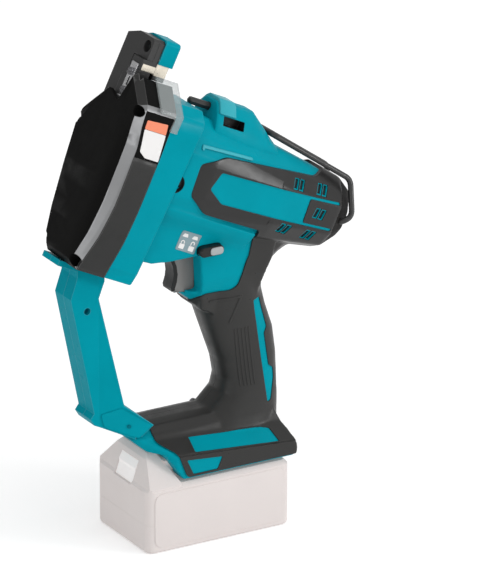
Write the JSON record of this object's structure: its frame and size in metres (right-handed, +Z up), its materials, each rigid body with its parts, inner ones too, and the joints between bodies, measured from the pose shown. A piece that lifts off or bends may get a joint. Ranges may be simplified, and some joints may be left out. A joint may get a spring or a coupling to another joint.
{
  "type": "cordless threaded rod cutter",
  "caption": "Hand-held cordless threaded rod cutter with a cam-driven shear head, hand guard, hanging hook and slide-on battery pack.",
  "frame": {"origin": "centre of the battery pack's flat base", "axes": "+Z up through the grip, -X to the front of the tool where the rod goes in, -Y to the tool's left side"},
  "size_m": [0.2424, 0.0771, 0.3807],
  "materials": {
    "teal_shell": "moulded, fine satin grain",
    "teal_metal": "painted casting, satin",
    "black_rubber": "soft overmould, matt",
    "black_cover": "satin black moulding",
    "black_metal": "black oxide, satin",
    "pale_steel": "ground tool steel",
    "bright_steel": "ground",
    "screw_steel": "blued",
    "motor_iron": "laminated iron",
    "clear_sheet": "clear bent sheet",
    "grey_plastic": "satin",
    "black_plastic": "satin",
    "pack_case": "satin, pale",
    "pack_key": "satin, pale",
    "cell_sleeve": "shrink sleeve",
    "contact_brass": "bright",
    "board_green": "coated board"
  },
  "bodies": {
    "tool": {"left_housing": "teal_shell", "right_housing": "teal_shell", "left_overmould": "black_rubber", "right_overmould": "black_rubber", "left_guard": "teal_shell", "right_guard": "teal_shell", "gear_housing": "teal_metal", "front_cover": "black_cover", "cover_screws": "screw_steel", "clear_guard": "clear_sheet", "die_frame": "black_metal", "frame_screws": "screw_steel", "guide_cap": "teal_metal", "fixed_die": "pale_steel", "keeper_strap": "bright_steel", "strap_screws": "screw_steel", "housing_screws": "screw_steel", "cluster_shaft": "bright_steel", "cam_shaft": "bright_steel", "stator": "motor_iron", "motor_bearings": "bright_steel", "switch_body": "black_plastic", "top_bridge": "teal_shell", "hex_key": "black_metal", "control_board": "board_green", "terminal_block": "black_plastic", "terminal_blades": "contact_brass"},
    "rotor": {"rotor": "motor_iron", "motor_pinion": "bright_steel", "fan": "black_plastic"},
    "cluster": {"cluster_gear": "bright_steel"},
    "cam": {"cam_gear": "bright_steel"},
    "ram": {"ram": "bright_steel", "moving_die": "pale_steel", "roller_pin": "bright_steel"},
    "roller": {"cam_roller": "bright_steel"},
    "trigger": {"trigger": "grey_plastic"},
    "lock_bar": {"lock_bar": "black_plastic"},
    "hook": {"hanging_hook": "black_metal"},
    "pack": {"pack_lower": "pack_case", "pack_upper": "pack_case", "pack_cells": "cell_sleeve"},
    "pack_button": {"pack_button": "pack_key"}
  },
  "joints": [
    {"name": "rotor_spin", "type": "hinge", "parent": "tool", "child": "rotor", "pos_m": [0.01752, 0, 0.26404], "axis": [-0.8988, 0, 0.4384], "range_deg": [0, 7479]},
    {"name": "cluster_spin", "type": "hinge", "parent": "tool", "child": "cluster", "pos_m": [-0.04956, 0, 0.26338], "axis": [-0.8988, 0, 0.4384], "range_deg": [-1320, 0]},
    {"name": "cam_spin", "type": "hinge", "parent": "tool", "child": "cam", "pos_m": [-0.04824, 0, 0.30029], "axis": [-0.8988, 0, 0.4384], "range_deg": [0, 300]},
    {"name": "ram_slide", "type": "slide", "parent": "tool", "child": "ram", "axis": [0.4384, 0, 0.8988], "range_m": [0, 0.012]},
    {"name": "roller_spin", "type": "hinge", "parent": "ram", "child": "roller", "pos_m": [-0.04397, 0, 0.32046], "axis": [-0.8988, 0, 0.4384], "continuous": true},
    {"name": "trigger_pull", "type": "slide", "parent": "tool", "child": "trigger", "axis": [1, 0, 0], "range_m": [0, 0.006], "stiffness_N_per_m": 800, "springref_m": -0.003},
    {"name": "lock_push", "type": "slide", "parent": "tool", "child": "lock_bar", "axis": [0, 1, 0], "range_m": [0, 0.005]},
    {"name": "hook_swing", "type": "hinge", "parent": "tool", "child": "hook", "pos_m": [0.1092, 0, 0.21933], "axis": [0, 1, 0], "range_deg": [0, 130]},
    {"name": "pack_slide", "type": "slide", "parent": "tool", "child": "pack", "axis": [-1, 0, 0], "range_m": [0, 0.1]},
    {"name": "pack_button_press", "type": "slide", "parent": "pack", "child": "pack_button", "axis": [1, 0, 0], "range_m": [0, 0.003], "stiffness_N_per_m": 600, "springref_m": -0.002}
  ],
  "couplings": [
    {"joint": "cluster_spin", "follows": "rotor_spin", "ratio": -0.17647},
    {"joint": "cam_spin", "follows": "rotor_spin", "ratio": 0.040107},
    {"joint": "ram_slide", "follows": "rotor_spin", "m_per_rad": 0.000091918}
  ]
}
